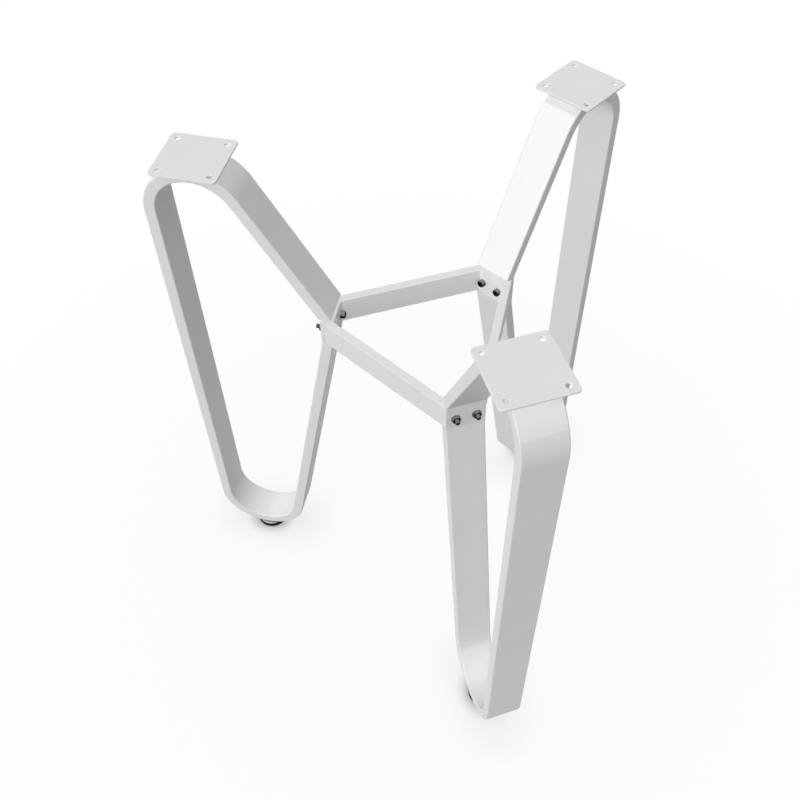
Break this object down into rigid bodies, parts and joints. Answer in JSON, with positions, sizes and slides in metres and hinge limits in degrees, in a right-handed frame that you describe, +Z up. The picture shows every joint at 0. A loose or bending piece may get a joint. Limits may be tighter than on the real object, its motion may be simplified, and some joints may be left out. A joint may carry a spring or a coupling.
{
  "type": "metal tripod table base",
  "caption": "Table base of bent flat-tube loop legs bolted to a six-sided centre ring, with square drilled top plates and levelling feet.",
  "frame": {"origin": "on the upright axis of the base, at the level the feet stand on", "axes": "+Z up along the axis that the legs are set round; one leg points along -X"},
  "size_m": [0.5251, 0.6058, 0.73],
  "materials": {
    "white_coat": "satin white powder coat",
    "black_steel": "black oxide",
    "plated_steel": "dull zinc plate",
    "bright_chrome": "polished",
    "black_rubber": "matt"
  },
  "bodies": {
    "base": {"leg_tube_a": "white_coat", "joint_plate_a": "white_coat", "top_plate_a": "white_coat", "ring_end_a": "white_coat", "ring_screws_a": "black_steel", "ring_washers_a": "plated_steel", "ring_nuts_a": "black_steel", "foot_insert_a": "plated_steel", "leg_tube_b": "white_coat", "joint_plate_b": "white_coat", "top_plate_b": "white_coat", "ring_end_b": "white_coat", "ring_screws_b": "black_steel", "ring_washers_b": "plated_steel", "ring_nuts_b": "black_steel", "foot_insert_b": "plated_steel", "leg_tube_c": "white_coat", "joint_plate_c": "white_coat", "top_plate_c": "white_coat", "ring_end_c": "white_coat", "ring_screws_c": "black_steel", "ring_washers_c": "plated_steel", "ring_nuts_c": "black_steel", "foot_insert_c": "plated_steel", "ring_bar_ba": "white_coat", "ring_bar_ac": "white_coat", "ring_bar_cb": "white_coat"},
    "foot_a": {"foot_stud_a": "plated_steel", "foot_cap_a": "bright_chrome", "foot_pad_a": "black_rubber"},
    "foot_b": {"foot_stud_b": "plated_steel", "foot_cap_b": "bright_chrome", "foot_pad_b": "black_rubber"},
    "foot_c": {"foot_stud_c": "plated_steel", "foot_cap_c": "bright_chrome", "foot_pad_c": "black_rubber"}
  },
  "joints": [
    {"name": "foot_a_level", "type": "slide", "parent": "base", "child": "foot_a", "axis": [0, 0, 1], "range_m": [-0.005, 0.0035]},
    {"name": "foot_b_level", "type": "slide", "parent": "base", "child": "foot_b", "axis": [0, 0, 1], "range_m": [-0.005, 0.0035]},
    {"name": "foot_c_level", "type": "slide", "parent": "base", "child": "foot_c", "axis": [0, 0, 1], "range_m": [-0.005, 0.0035]}
  ]
}
